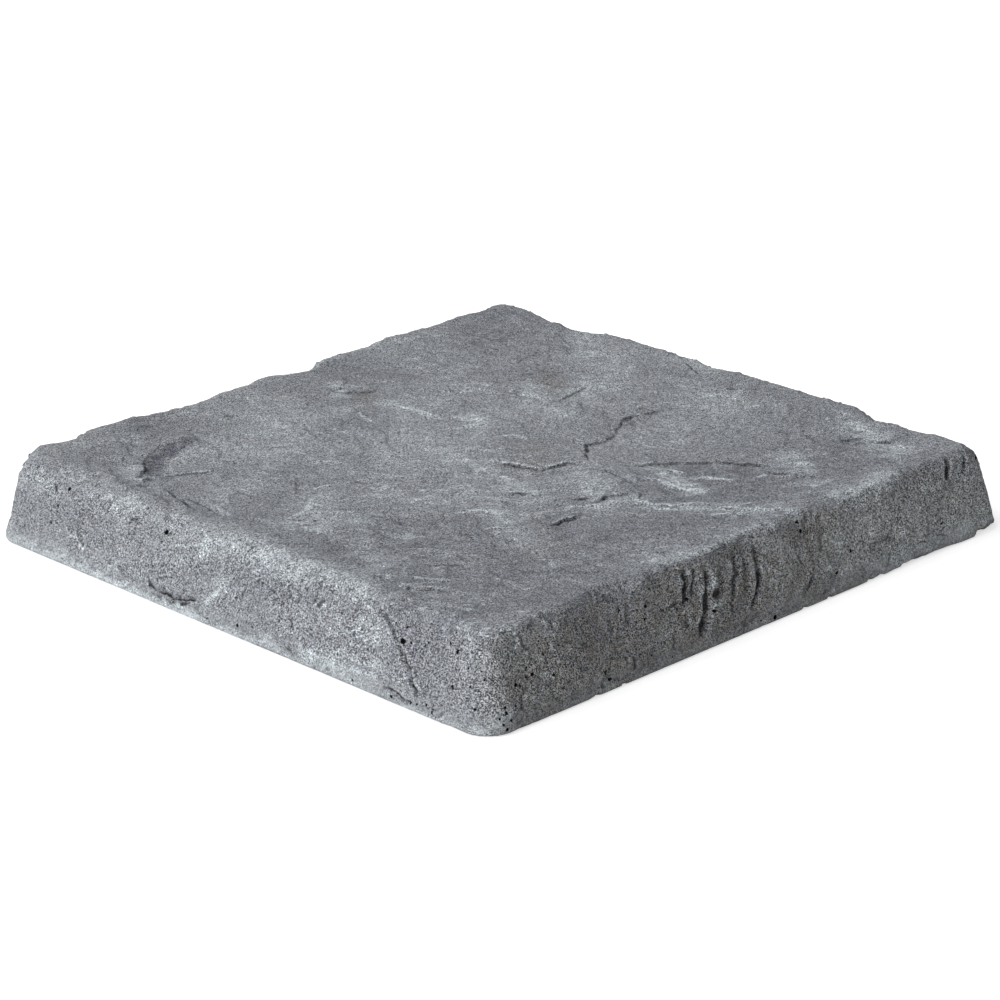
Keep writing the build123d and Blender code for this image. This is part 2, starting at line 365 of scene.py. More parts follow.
right_grooves = [
    ([(-52, 50), (-52, 44), (-52, 38), (-54, 31), (-57, 28)], 1.5, 1.6, 1.3),
    ([(-46, 48), (-46, 43), (-48, 37), (-50, 30), (-51, 26)], 1.3, 1.5, 1.3),
    ([(-59, 28), (-49, 28)], 1.5, 1.2, 1.2),
    ([(-38, 47), (-37, 39), (-38, 31), (-39, 26), (-40, 20), (-42, 16), (-45, 11), (-49, 7)], 2.1, 2.8, 2.0),
    ([(-37, 27), (-31, 27), (-27, 27)], 2.4, 1.9, 1.6),
    ([(-67, 29), (-59, 29)], 1.8, 1.4, 1.0),
    ([(-12, 48), (-12, 37), (-14, 32), (-16, 28), (-18, 23), (-20, 15), (-21, 11)], 1.8, 1.6, 1.0),
    ([(4, 47), (4, 40), (4, 32), (3, 24), (1, 19), (-2, 15), (-5, 9)], 1.8, 1.9, 1.2),
    ([(-5, 41), (-6, 30), (-7, 22), (-11, 16)], 1.8, 1.1, 0.6),
    ([(-23, 45), (-26, 35), (-28, 23)], 1.6, 0.8, 0.3),
    ([(-55, 21), (-55, 14)], 1.2, 1.0, 1.0),
    ([(-64, 14), (-67, 7)], 1.3, 1.0, 0.8),
    ([(-95, 14), (-98, 6)], 1.2, 1.2, 1.1),
    ([(50, 17), (44, 14), (38, 10), (33, 5)], 1.8, 1.2, 0.8),
    ([(58, 43), (56, 34), (54, 26)], 2.0, 1.2, 0.6),
    ([(164, 51), (163, 36)], 1.6, 1.5, 1.3),
    ([(178, 49), (176, 36)], 1.5, 1.4, 1.2),
    ([(-173, 18), (-179, 9)], 1.2, 0.8, 0.4),
    ([(-92, 43), (-95, 33), (-96, 27)], 1.2, 0.9, 0.5),
    ([(-99, 41), (-102, 29)], 1.2, 0.8, 0.4),
    ([(-105, 37), (-108, 27)], 1.2, 0.7, 0.4),
    ([(-170, 47), (-168, 35)], 1.5, 0.7, 0.4),
    ([(109, 13), (106, 5)], 1.2, 0.8, 0.6),
]

# %% The lip that the mould leaves along the bed, as the height of its upper edge
front_base = [
    (-206, 8), (-185, 7), (-160, 6), (-130, 6), (-106, 5), (-99, 12), (-91, 13), (-84, 8), (-67, 7), (-62, 4),
    (-55, 5), (-48, 5), (-41, 5), (-34, 6), (-28, 8), (-20, 5), (0, 4), (26, 5), (33, 11), (45, 10), (58, 5),
    (66, 10), (85, 11), (93, 5), (101, 11), (121, 12), (128, 6), (142, 4), (165, 4), (206, 5),
]
right_base = [(-206, 4), (-150, 4), (-70, 6), (-48, 8), (-20, 7), (20, 4), (70, 5), (100, 4), (150, 6), (206, 6)]

# %% Marks of the two sides that don't show, guessed after the ones that do
back_base = [(-206, 6), (-150, 5), (-92, 9), (-60, 5), (0, 5), (44, 10), (72, 5), (130, 6), (206, 5)]
back_ledges = [
    ([(-170, 12), (-166, 19), (-158, 23), (-150, 21)], 0.8, 9, 0.5, 0.8),
    ([(-60, 9), (-54, 5), (-44, 7), (-37, 5), (-30, 9)], 1.2, 9, 1.3, 0.9),
    ([(6, 38), (14, 42), (26, 41), (34, 45)], 0.8, 12, 0.4, 0.9),
    ([(118, 20), (126, 14), (134, 16)], 0.9, 9, 0.9, 0.8),
]
back_grooves = [
    ([(-118, 44), (-116, 34), (-118, 24)], 1.6, 1.3, 0.9),
    ([(-108, 46), (-107, 35), (-109, 22), (-112, 14)], 1.8, 1.7, 1.2),
    ([(-99, 43), (-98, 32)], 1.5, 1.1, 0.8),
    ([(-20, 40), (-15, 30), (-14, 22)], 1.2, 0.9, 0.7),
    ([(-11, 38), (-7, 29)], 1.1, 0.9, 0.7),
    ([(38, 22), (43, 12), (42, 5)], 1.2, 1.2, 1.0),
    ([(88, 47), (90, 36), (87, 25)], 1.7, 1.4, 1.0),
    ([(98, 45), (99, 33)], 1.5, 1.1, 0.8),
    ([(160, 34), (154, 24), (150, 12)], 1.3, 1.4, 1.2),
]
left_base = [(-206, 5), (-160, 6), (-120, 5), (-70, 9), (-20, 5), (60, 6), (96, 10), (140, 5), (206, 6)]
left_ledges = [
    ([(-120, 8), (-112, 12), (-103, 9), (-96, 11)], 1.0, 9, 1.1, 0.8),
    ([(34, 44), (42, 40), (50, 42), (58, 38)], 0.8, 11, 0.4, 0.9),
    ([(110, 26), (118, 21), (128, 23)], 0.8, 9, 0.8, 0.7),
    ([(170, 40), (176, 34), (174, 27)], 0.7, 8, 0.6, 0.6),
]
left_grooves = [
    ([(-150, 42), (-152, 32), (-149, 22)], 1.5, 1.3, 0.9),
    ([(-141, 45), (-140, 34), (-143, 21)], 1.7, 1.5, 1.1),
    ([(-72, 30), (-66, 20), (-65, 10)], 1.2, 1.3, 1.1),
    ([(-18, 46), (-16, 36), (-19, 24), (-24, 13)], 1.9, 1.9, 1.3),
    ([(-8, 44), (-8, 33)], 1.5, 1.1, 0.8),
    ([(2, 42), (3, 30), (1, 22)], 1.6, 1.3, 0.9),
    ([(78, 38), (84, 30)], 1.1, 0.9, 0.7),
    ([(86, 36), (91, 27), (92, 19)], 1.1, 1.0, 0.8),
    ([(150, 16), (146, 6)], 1.2, 1.2, 1.0),
]

# %% Work out the marks at any set of points
for ledges, base, drop in (
    (front_ledges, front_base, 0.7), (right_ledges, right_base, 0.5),
    (back_ledges, back_base, 0.6), (left_ledges, left_base, 0.6),
):
    ledges.append((base, drop, 13, 0.35, 0.0))
surfaces = {
    "tread": {"across": (0, 1), "ledges": tread_ledges, "grooves": [], "rise": 1.5, "crease": 1.0, "shade": 0.9,
              "glint": 0.95},
    "front": {"across": (0, 2), "ledges": front_ledges, "grooves": front_grooves, "rise": 1.0, "crease": 0.9,
              "shade": 1.0, "glint": 0.9},
    "right": {"across": (1, 2), "ledges": right_ledges, "grooves": right_grooves, "rise": 0.9, "crease": 0.9,
              "shade": 0.85, "glint": 0.7},
    "back": {"across": (0, 2), "ledges": back_ledges, "grooves": back_grooves, "rise": 1.0, "crease": 0.9,
             "shade": 0.9, "glint": 0.8},
    "left": {"across": (1, 2), "ledges": left_ledges, "grooves": left_grooves, "rise": 1.0, "crease": 0.9,
             "shade": 0.9, "glint": 0.8},
}
crease_depth = 0.5
foot_reach = 4.0


def facing(normals):
    """How much each point belongs to the tread and to each of the sides."""
    return {
        "tread": ease(0.55, 0.85, normals[:, 2]),
        "front": ease(0.45, 0.75, -normals[:, 1]),
        "right": ease(0.45, 0.75, normals[:, 0]),
        "back": ease(0.45, 0.75, normals[:, 1]),
        "left": ease(0.45, 0.75, -normals[:, 0]),
    }


def bent(points, across, seed):
    """Flat places, moved about by two sizes of noise."""
    flat = points[:, across].copy()
    for i in range(2):
        flat[:, i] += 0.8 * lumps(points, 13.0, seed + i) + 1.0 * lumps(points, 4.0, seed + 10 + i)
    return flat


def marks(points, normals):
    """How far every point is pushed out, how dark it is (dirt and painted shade at the foot of a ledge or in a groove)
    and how pale (lime and painted highlight on a lip or burr).
    """
    push = np.zeros(len(points))
    dark = np.zeros(len(points))
    pale = np.zeros(len(points))
    shares = facing(normals)
    uneven = 1.0 + 0.4 * lumps(points, 9.0, 40)
    broken = 0.5 + 0.5 * ease(-0.6, 0.2, lumps(points, 4.5, 41))
    for name, surface in surfaces.items():
        members = np.nonzero(shares[name] > 0)[0]
        flat = bent(points[members], surface["across"], 20)
        for line, drop, floor, darkness, paleness in surface["ledges"]:
            inside = near_line(flat, line, 3 * floor)
            distance, side, share = along_line(flat[inside], line)
            who = members[inside]
            ends = ease(0.0, 0.15, share) * ease(0.0, 0.15, 1.0 - share) * uneven[who] * shares[name][who]
            low = ease(-0.5, 0.7, distance * side)
            fall = np.exp(-distance / floor)
            lip = np.exp(-distance / (0.4 * floor))
            crease = np.exp(-((distance / surface["crease"]) ** 2))
            # Dirt and painted shade: dark in the crease, and for a little way over the low floor, where shade falls.
            foot_dirt_and_shade = 0.75 * crease + 0.25 * low * np.exp(-distance / foot_reach)
            # Painted highlight: a pale line along the lip's edge, on the high side.
            brink_highlight = (1.0 - low) * np.exp(-((distance / surface["crease"] - 1.6) ** 2))
            push[who] += ends * drop * surface["rise"] * (0.35 * (1.0 - low) * lip - low * fall)
            push[who] -= ends * darkness * crease_depth * crease
            dark[who] = np.maximum(dark[who], ends * broken[who] * darkness * surface["shade"] * foot_dirt_and_shade)
            pale[who] = np.maximum(pale[who], ends * broken[who] * paleness * surface["glint"] * brink_highlight)
        for line, width, depth, darkness in surface["grooves"]:
            inside = near_line(flat, line, 4 * width)
            distance, side, share = along_line(flat[inside], line)
            who = members[inside]
            ends = ease(0.0, 0.3, share) * ease(0.0, 0.18, 1.0 - share) * uneven[who] * shares[name][who]
            cut = np.exp(-((distance / width) ** 2))
            burr = np.exp(-((distance / width - 2.0) ** 2))
            push[who] += ends * depth * surface["rise"] * (0.35 * burr - cut)
            # Dirt and painted shade in the groove, and a painted highlight on its burrs.
            dark[who] = np.maximum(dark[who], ends * broken[who] * darkness * surface["shade"] * cut)
            pale[who] = np.maximum(pale[who], ends * broken[who] * darkness * 0.4 * surface["glint"] * burr)
    return push, dark, pale


tread_sunk, rim_width = 1.1, 40
points, normals = read_points(stone.data)
push, dark, pale = marks(points, normals)
inland = ease(0.2 * rim_width, rim_width, half_side - np.abs(points[:, :2]).max(axis=1))
push -= tread_sunk * inland * facing(normals)["tread"]
points += normals * push[:, None]
write_points(stone.data, points)
print("marks, mm deepest and highest:", round(push.min(), 2), round(push.max(), 2))

# %% [markdown]
# ## The mould's own texture
#
# Between the marks the slate lies in thin sheets, the sides are broken in small steps, and all of it is uneven. Such
# texture follows the skin and never repeats, so a node tree presses it in from noise. A sculpted brush stroke would
# do it by hand.

# %% A node tree for the cast skin


class Tree:
    """A node tree that is built one node at a time."""

    def __init__(self, tree):
        self.tree = tree

    def add(self, kind, inputs=None, **settings):
        node = self.tree.nodes.new(kind)
        for name, value in settings.items():
            setattr(node, name, value)
        for name, value in (inputs or {}).items():
            socket = node.inputs[name]
            if isinstance(value, bpy.types.NodeSocket):
                self.tree.links.new(value, socket)
            else:
                socket.default_value = value
        return node

    def math(self, operation, first, second=0.0, clamp=False):
        return self.add("ShaderNodeMath", {0: first, 1: second}, operation=operation, use_clamp=clamp).outputs[0]

    def times(self, *factors):
        total = factors[0]
        for factor in factors[1:]:
            total = self.math("MULTIPLY", total, factor)
        return total

    def plus(self, *terms):
        total = terms[0]
        for term in terms[1:]:
            total = self.math("ADD", total, term)
        return total

    def eased(self, value, low, high, start=0.0, end=1.0):
        names = {"Value": value, "From Min": low, "From Max": high, "To Min": start, "To Max": end}
        return self.add("ShaderNodeMapRange", names, interpolation_type="SMOOTHSTEP").outputs[0]

    def noise(self, place, scale, detail=3.0, roughness=0.5, distortion=0.0, seed=0.0):
        names = {
            "Vector": place,
            "W": seed,
            "Scale": scale,
            "Detail": detail,
            "Roughness": roughness,
            "Distortion": distortion,
        }
        return self.add("ShaderNodeTexNoise", names, noise_dimensions="4D").outputs[0]

    def stretched(self, place, scale):
        return self.add("ShaderNodeVectorMath", {0: place, 1: scale}, operation="MULTIPLY").outputs[0]


def cast_skin_tree(material):
    """Sheets on the tread, small steps on the sides and unevenness all over, pressed in along the skin's normal."""
    group = bpy.data.node_groups.new("cast_skin", "GeometryNodeTree")
    group.interface.new_socket("Geometry", in_out="INPUT", socket_type="NodeSocketGeometry")
    for name, start in skin_sizes.items():
        socket = group.interface.new_socket(name, in_out="INPUT", socket_type="NodeSocketFloat")
        socket.default_value = start
    group.interface.new_socket("Geometry", in_out="OUTPUT", socket_type="NodeSocketGeometry")
    t = Tree(group)
    given = t.add("NodeGroupInput").outputs
    place = t.add("GeometryNodeInputPosition").outputs[0]
    normal = t.add("GeometryNodeInputNormal").outputs[0]
    up = t.add("ShaderNodeSeparateXYZ", {0: normal}).outputs["Z"]
    height = t.add("ShaderNodeSeparateXYZ", {0: place}).outputs["Z"]
    tread = t.eased(up, 0.55, 0.95)
    bed = t.eased(up, -0.6, -0.95)
    side = t.math("SUBTRACT", t.math("SUBTRACT", 1.0, tread), bed, clamp=True)
    seed = given["Seed"]

    def steps(spread, count, drop, stretch, seed):
        """Flat sheets with sharp edges, from noise cut into levels."""
        wave = t.noise(t.stretched(place, stretch), t.math("DIVIDE", 1.0, spread), 4.0, 0.58, 1.1, seed)
        level = t.math("MULTIPLY", wave, count)
        sharp = t.eased(t.math("FRACT", level), 0.0, 0.14)
        whole = t.math("ADD", t.math("FLOOR", level), sharp)
        tilt = t.math("MULTIPLY", t.math("SUBTRACT", whole, level), 0.8)
        middle = t.math("SUBTRACT", t.math("ADD", whole, tilt), t.math("MULTIPLY", count, 0.5))
        return t.math("MULTIPLY", middle, drop)

    def uneven(spread, depth, detail, seed):
        wave = t.math("SUBTRACT", t.noise(place, t.math("DIVIDE", 1.0, spread), detail, 0.6, 0.3, seed), 0.5)
        return t.math("MULTIPLY", wave, depth)

    slate = t.times(steps(given["Sheet spread"], given["Sheets"], given["Sheet drop"], (1.0, 1.0, 1.0), seed), tread)
    broken = t.times(steps(given["Step spread"], given["Steps"], given["Step drop"], (1.0, 1.0, 0.8), seed), side)
    waves = uneven(given["Wave spread"], given["Wave depth"], 2.0, seed)
    lump_depth = t.plus(given["Tread lumps"], t.times(given["Side lumps"], side))
    lumpy = uneven(given["Lump spread"], lump_depth, 4.0, t.plus(seed, 7.0))
    shoulder = t.times(t.math("SUBTRACT", 1.0, bed), t.eased(t.math("ABSOLUTE", t.plus(up, -0.6)), 0.45, 0.0))
    chips = t.math("MINIMUM", uneven(given["Chip spread"], given["Chip depth"], 5.0, seed), 0.0)
    facets = steps(given["Facet spread"], given["Facets"], given["Facet drop"], (1.0, 1.0, 1.0), t.plus(seed, 3.0))
    chipped = t.times(t.plus(chips, facets), shoulder)
    off_bed = t.eased(height, 0.0, 0.004)
    outward = t.times(t.plus(slate, broken, waves, lumpy, chipped), off_bed)
    shift = t.add("ShaderNodeVectorMath", {0: normal, "Scale": outward}, operation="SCALE").outputs[0]
    moved = t.add("GeometryNodeSetPosition", {"Geometry": given["Geometry"], "Offset": shift}).outputs[0]
    real = t.add("GeometryNodeRealizeInstances", {0: moved}).outputs[0]
    done = t.add("GeometryNodeSetMaterial", {"Geometry": real, "Material": material}).outputs[0]
    t.add("NodeGroupOutput", {0: done})
    return group


def pass_through(thing, group, sizes):
    """Runs the object's mesh through a node tree with these sizes, and keeps the result as its plain mesh."""
    step = thing.modifiers.new(group.name, "NODES")
    step.node_group = group
    for socket in group.interface.items_tree:
        if socket.in_out == "INPUT" and socket.name in sizes:
            step[socket.identifier] = sizes[socket.name]
    thing.data = evaluated(thing)
    thing.modifiers.clear()


skin_sizes = {
    "Sheet spread": 120 * mm,
    "Sheets": 11.0,
    "Sheet drop": 0.40 * mm,
    "Step spread": 34 * mm,
    "Steps": 7.0,
    "Step drop": 0.45 * mm,
    "Wave spread": 60 * mm,
    "Wave depth": 2.2 * mm,
    "Lump spread": 6 * mm,
    "Tread lumps": 0.5 * mm,
    "Side lumps": 0.6 * mm,
    "Chip spread": 16 * mm,
    "Chip depth": 7.0 * mm,
    "Facet spread": 40 * mm,
    "Facets": 8.0,
    "Facet drop": 0.65 * mm,
    "Seed": 3.0,
}
concrete = bpy.data.materials.new("concrete")
pass_through(stone, cast_skin_tree(concrete), skin_sizes)
print("skin pressed:", len(stone.data.vertices), "points")

# %% [markdown]
# ## Ragged bed edge
#
# The bed's edge is the thinnest part of the casting, and it crumbles when the stone leaves the mould. It is cut back
# at a slant by an uneven amount along each side, most where the stone is chipped.

# %% Chip the bed's edge: side, middle of the chip along it, half length, depth
bed_chips = [
    ("right", 94, 10, 2.6), ("right", 132, 22, 3.6), ("right", 192, 14, 6.5), ("right", -128, 5, 1.2),
    ("right", -178, 12, 1.4), ("front", -72, 6, 1.0), ("front", 58, 8, 1.0), ("front", 182, 14, 1.6),
    ("back", -120, 16, 2.4), ("back", 66, 12, 1.8), ("left", -40, 14, 2.2), ("left", 120, 10, 1.6),
]
side_axes = {"front": (1, -1, 0), "right": (0, 1, 1), "back": (1, 1, 0), "left": (0, -1, 1)}
raggedness = {"front": 2.4, "right": 3.6, "back": 3.0, "left": 3.0}
points, normals = read_points(stone.data)
for name, (across, sign, along) in side_axes.items():
    place = points[:, along]
    ragged = np.maximum(0.0, raggedness[name] * lumps(points * (1, 1, 0), 5.0, 51 + across) - 0.5)
    for _, middle, length, depth in (chip for chip in bed_chips if chip[0] == name):
        uneven = 1.0 + 0.45 * lumps(points * (1, 1, 0), 4.0, 60)
        ragged = np.maximum(ragged, depth * uneven * ease(1.0, 0.55, np.abs(place - middle) / length))
    excess = ragged - (half_side - sign * points[:, across]) - points[:, 2]
    cut = np.clip(excess, 0.0, None) / 2
    points[:, across] -= sign * cut
    points[:, 2] += cut
write_points(stone.data, points)

# %% [markdown]
# ## Fewer faces
#
# The skin is thinned where it is nearly flat, which keeps the ledges and grooves and leaves a mesh that others can
# use. It is then kept inside the solid's own size.

# %% Thin the skin
most_triangles = 178000
least_mark = 0.12
gentle = 0.25
triangles = sum(len(face.vertices) - 2 for face in stone.data.polygons)
plain = stone.vertex_groups.new(name="plain")
plain.add(np.nonzero(np.maximum(dark, pale) < least_mark)[0].tolist(), 1.0, "REPLACE")
thin = stone.modifiers.new("thin", "DECIMATE")
thin.ratio = most_triangles / triangles
thin.vertex_group = plain.name
stone.data = evaluated(stone)
stone.modifiers.clear()
stone.vertex_groups.clear()
points, normals = read_points(stone.data)
below = (thickness - points[:, 2]) / gentle
points[:, 2] = np.where(below < 20, thickness - gentle * np.log1p(np.exp(np.minimum(below, 20))), points[:, 2])
points[:, 2] = np.maximum(points[:, 2], 0.0)
points[:, :2] = np.clip(points[:, :2], -half_side, half_side)
write_points(stone.data, points)
print("thinned:", sum(len(face.vertices) - 2 for face in stone.data.polygons), "triangles")

# %% [markdown]
# ## Air pits
#
# Bubbles rise against the mould's walls and burst there, which leaves round pits on the sides and very few on the
# tread. The ones that show were read off the stone, and the others are strewn by a seeded draw. A node tree puts a
# ball at each place and cuts them all out of the stone at once.

# %% Where the pits are: along the side, height, width
front_pits = [
    (-149, 32, 1.9), (-141, 43, 1.4), (-56, 40, 2.2), (-27, 29, 1.8), (10, 7, 2.1), (89, 35, 1.9), (136, 34, 3.2),
    (174, 39, 2.0), (132, 4, 1.9), (128, 40, 1.4), (137, 41, 1.4), (131, 37, 1.2), (146, 42, 1.2), (142, 34, 1.5),
    (152, 37, 1.2), (152, 35, 1.2), (115, 22, 1.1), (173, 21, 1.5), (175, 19, 1.5), (-13, 4, 1.2), (-63, 19, 1.1),
    (23, 10, 1.2), (103, 3, 1.3), (146, 4, 1.1), (151, 5, 1.2), (154, 7, 1.2), (158, 7, 1.2), (163, 6, 1.1),
    (163, 4, 1.3), (169, 41, 1.1), (170, 46, 1.1), (183, 32, 1.1), (186, 24, 1.2), (190, 13, 1.4), (-117, 45, 1.1),
]
right_pits = [
    (-179, 23, 2.2), (-167, 24, 2.0), (-171, 25, 1.6), (-170, 29, 1.3), (-178, 11, 2.2), (-182, 13, 1.3),
    (-188, 14, 1.4), (-188, 11, 1.4), (-187, 7, 1.4), (-192, 9, 1.4), (-191, 6, 1.4), (-189, 3.5, 1.8),
    (-175, 20, 1.3), (-154, 20, 1.4), (-147, 34, 1.2), (-158, 33, 1.3), (-131, 17, 1.6), (-118, 10, 1.2),
    (-115, 6, 1.5), (-84, 36, 2.0), (-86, 29, 1.7), (-79, 43, 1.3), (-62, 28, 1.5), (-83, 9, 1.3), (-70, 5, 1.2),
    (-35, 19, 2.0), (-1, 4, 1.2), (10, 3, 2.8), (63, 12, 2.7), (76, 21, 1.9), (40, 42, 2.2), (38, 46, 1.6),
    (188, 44, 1.6), (141, 32, 1.6), (-102, 31, 1.3), (-100, 37, 1.2), (-3, 35, 1.2),
]
tread_pits = [(-18, 62, 1.2), (-91, 117, 1.1)]
strewn_pits = 60
smallest_pit, largest_pit = 0.6, 1.2
pit_sunk = 0.3
side_reach = 24

dice = np.random.default_rng(7)
points, normals = read_points(stone.data)
pit_points = []
pit_normals = []
pit_widths = []


def add_pit(index, width):
    pit_points.append(points[index] - normals[index] * pit_sunk * width)
    pit_normals.append(normals[index])
    pit_widths.append(width)


read_off = (
    (front_pits, (0, 2), -normals[:, 1], half_side + points[:, 1]),
    (right_pits, (1, 2), normals[:, 0], half_side - points[:, 0]),
    (tread_pits, (0, 1), normals[:, 2], thickness - points[:, 2]),
)
for pits, across, outward, inwards in read_off:
    on_surface = np.nonzero((outward > 0.3) & (inwards < side_reach))[0]
    for along, height, width in pits:
        distance = np.linalg.norm(points[on_surface][:, across] - (along, height), axis=1)
        add_pit(on_surface[np.argmin(distance)], width)
near_side = half_side - np.abs(points[:, :2]).max(axis=1) < side_reach
steep = np.nonzero((np.abs(normals[:, 2]) < 0.8) & (points[:, 2] > 3) & near_side)[0]
for index in dice.choice(steep, strewn_pits, replace=False):
    add_pit(index, smallest_pit + (largest_pit - smallest_pit) * dice.random() ** 3)
pit_places = bpy.data.objects.new("pit_places", bpy.data.meshes.new("pit_places"))
pit_places.data.from_pydata([tuple(p * mm) for p in pit_points], [], [])
ball_share = math.hypot(0.5, pit_sunk)
sizes = pit_places.data.attributes.new("pit_radius", "FLOAT", "POINT")
sizes.data.foreach_set("value", [ball_share * width * mm for width in pit_widths])
print("pits:", len(pit_points))

# %% Cut them out


def pits_tree(material):
    """A ball at each pit's place, all cut out of the given stone."""
    group = bpy.data.node_groups.new("air_pits", "GeometryNodeTree")
    group.interface.new_socket("Geometry", in_out="INPUT", socket_type="NodeSocketGeometry")
    group.interface.new_socket("Places", in_out="INPUT", socket_type="NodeSocketObject")
    group.interface.new_socket("Geometry", in_out="OUTPUT", socket_type="NodeSocketGeometry")
    t = Tree(group)
    given = t.add("NodeGroupInput").outputs
    places = t.add("GeometryNodeObjectInfo", {"Object": given["Places"]}).outputs["Geometry"]
    radius = t.add("GeometryNodeInputNamedAttribute", {"Name": "pit_radius"}, data_type="FLOAT").outputs[0]
    ball = t.add("GeometryNodeMeshIcoSphere", {"Radius": 1.0, "Subdivisions": 2}).outputs[0]
    any_way = {0: (0, 0, 0), 1: (6.28, 6.28, 6.28)}
    turn = t.add("FunctionNodeRandomValue", any_way, data_type="FLOAT_VECTOR").outputs[0]
    names = {"Points": places, "Instance": ball, "Scale": radius, "Rotation": turn}
    balls = t.add("GeometryNodeRealizeInstances", {0: t.add("GeometryNodeInstanceOnPoints", names).outputs[0]})
    cut = t.add("GeometryNodeMeshBoolean", {0: given["Geometry"], 1: balls.outputs[0]}, operation="DIFFERENCE")
    cut.solver = "MANIFOLD"
    done = t.add("GeometryNodeSetMaterial", {"Geometry": cut.outputs[0], "Material": material}).outputs[0]
    t.add("NodeGroupOutput", {0: done})
    return group


pass_through(stone, pits_tree(concrete), {"Places": pit_places})
bpy.data.objects.remove(pit_places)
print("with pits:", sum(len(face.vertices) - 2 for face in stone.data.polygons), "triangles")

# %% [markdown]
# ## Where the colour changes
#
# Lime dries pale on lips and where the mix ran, and painted highlights lie on lips, burrs, the right arris and the
# front shoulder. Pigment and dirt stay dark in hollows, together with painted shade in creases and at the feet of
# ledges, and the pits are painted with shade. Damp darkens patches, and some of its strokes are painted shade, beside
# ledges and towards the tread's right and front. A little earth clings to the right side, and the warm tint over that
# whole shaded side is partly painted shade colour. Each is a weight on the skin's points, from strokes that follow
# the stone, and the material breaks the weights up with noise. Painting an image would be the other way, but it
# needs a flat map of the stone.

# %% Strokes of lime and painted highlight, and of damp and painted shade: line, half width, strength
tread_lime_and_highlight = [
    ([(-98, 172), (-70, 152), (-44, 136), (-32, 104)], 13, 0.6),
    ([(-34, 192), (-4, 180)], 9, 0.6),
    ([(14, 150), (50, 140), (84, 120)], 20, 0.3),
    ([(44, 98), (60, 84)], 7, 0.4),
    ([(112, 172), (140, 162), (172, 150)], 10, 0.8),
    ([(126, 108), (148, 95)], 9, 0.7),
    ([(-66, 92), (-40, 78), (-12, 68)], 9, 0.6),
    ([(-98, 14), (-72, 2)], 9, 0.6),
    ([(-150, 12), (-132, 2)], 7, 0.8),
    ([(-72, -2), (-48, -14), (-26, -22)], 14, 0.5),
    ([(-50, 34), (-38, 24), (-28, 12)], 9, 0.5),
    ([(84, 38), (106, 34), (130, 30)], 7, 0.9),
    ([(60, 4), (84, -2), (102, -14)], 13, 0.7),
    ([(110, -2), (124, -6), (138, 0)], 5, 1.0),
    ([(138, 6), (160, 20), (186, 42)], 7, 0.9),
    ([(2, -24), (36, -28), (74, -36)], 8, 0.6),
    ([(-10, -22), (2, -32)], 6, 0.8),
    ([(70, -66), (88, -76), (108, -84)], 9, 0.6),
    ([(28, -52), (46, -60)], 6, 0.5),
    ([(-16, -122), (2, -140), (22, -128), (4, -158)], 11, 0.7),
    ([(82, -162), (90, -176), (96, -188)], 10, 0.7),
    ([(-146, -52), (-110, -70), (-76, -104)], 26, 0.3),
    ([(-128, -160), (-104, -172)], 7, 0.9),
    # Painted highlight along the right arris, in this stroke and the next.
    ([(190, 118), (194, 98), (188, 76)], 8, 1.0),
    ([(188, 20), (192, -20), (186, -60)], 6, 0.5),
    ([(-186, -60), (-190, -20), (-184, 90)], 10, 0.3),
    # Painted highlight along the front shoulder.
    ([(-14, -195), (20, -190), (60, -188), (90, -190)], 11, 0.8),
    ([(-112, -104), (-86, -80), (-58, -48)], 24, 0.35),
]
tread_damp_and_shade = [
    # Damp and painted shade: the broad strokes darken the tread towards its right and front.
    ([(158, -150), (150, -60), (150, 30), (160, 130)], 58, 0.9),
    ([(50, -150), (130, -140)], 50, 0.9),
    ([(-170, 170), (-110, 120)], 50, 0.35),
    ([(-180, 168), (-160, 150), (-140, 132)], 22, 0.8),
    ([(-178, -108), (-164, -128), (-152, -150)], 17, 0.8),
    ([(-146, -166), (-132, -150)], 10, 0.6),
    ([(136, 158), (154, 142), (170, 124)], 17, 0.9),
    ([(26, 132), (18, 108), (20, 84)], 8, 0.8),
    ([(92, 66), (106, 56), (122, 50)], 12, 0.6),
    ([(80, 18), (100, 10), (128, 10)], 9, 0.6),
    ([(4, 18), (20, 8), (36, -4)], 13, 0.5),
    ([(90, -18), (104, -30)], 9, 0.7),
    ([(112, -66), (140, -100), (150, -140)], 27, 0.9),
    ([(60, -100), (100, -130), (120, -160)], 20, 0.5),
    ([(-62, -106), (-44, -120), (-30, -134)], 16, 0.5),
    ([(-82, -176), (-50, -176), (-26, -172)], 8, 0.8),
    ([(90, -174), (116, -172), (144, -180)], 14, 0.8),
    ([(-84, 134), (-74, 112), (-64, 98)], 14, 0.5),
    ([(-130, 16), (-114, 4)], 9, 0.6),
    ([(-182, 40), (-166, 30), (-156, 22)], 10, 0.6),
    ([(-158, 62), (-134, 52), (-114, 42)], 8, 0.4),
    ([(-40, 150), (10, 172), (60, 178)], 16, 0.4),
    # Painted shade: the last three strokes darken the slope below the left hollow's ledge and the floors beside two
    # clefts.
    ([(-138, -112), (-136, -128), (-127, -146), (-114, -160), (-106, -176)], 6, 2.0),
    ([(84, 24), (104, 50), (136, 66), (156, 78)], 8, 0.9),
    ([(10, -32), (34, -20), (54, 0)], 5, 0.8),
]
